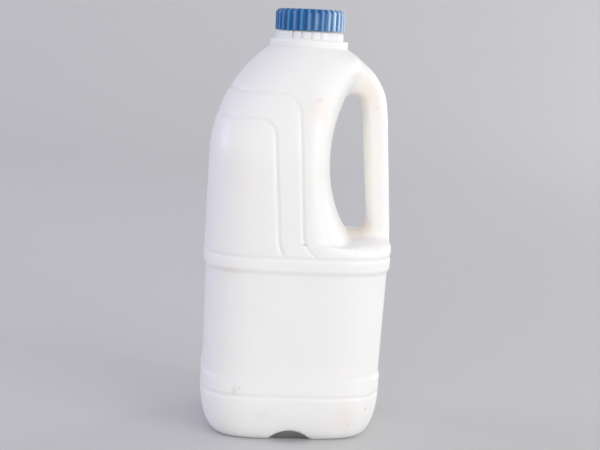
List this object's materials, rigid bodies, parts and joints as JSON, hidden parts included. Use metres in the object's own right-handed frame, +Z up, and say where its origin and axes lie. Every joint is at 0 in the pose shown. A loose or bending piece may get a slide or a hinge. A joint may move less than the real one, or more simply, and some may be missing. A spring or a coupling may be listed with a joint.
{
  "type": "plastic milk jug",
  "caption": "Shut two-litre milk jug of white blow-moulded plastic, with a moulded carrying handle and a ribbed blue screw cap.",
  "frame": {"origin": "centre of the box round the jug, on the surface it stands on", "axes": "+Z up along the jug's axis, +X towards the handle, -Y the front; the mould parts on the plane y = 0"},
  "size_m": [0.1131, 0.1126, 0.2548],
  "materials": {
    "white_polythene": "satin, slightly waxy white polythene with a soft sheen",
    "blue_polypropylene": "glossy blue moulded plastic, faintly see-through"
  },
  "bodies": {
    "root": {"jug_body": "white_polythene", "cap": "blue_polypropylene"}
  },
  "joints": []
}
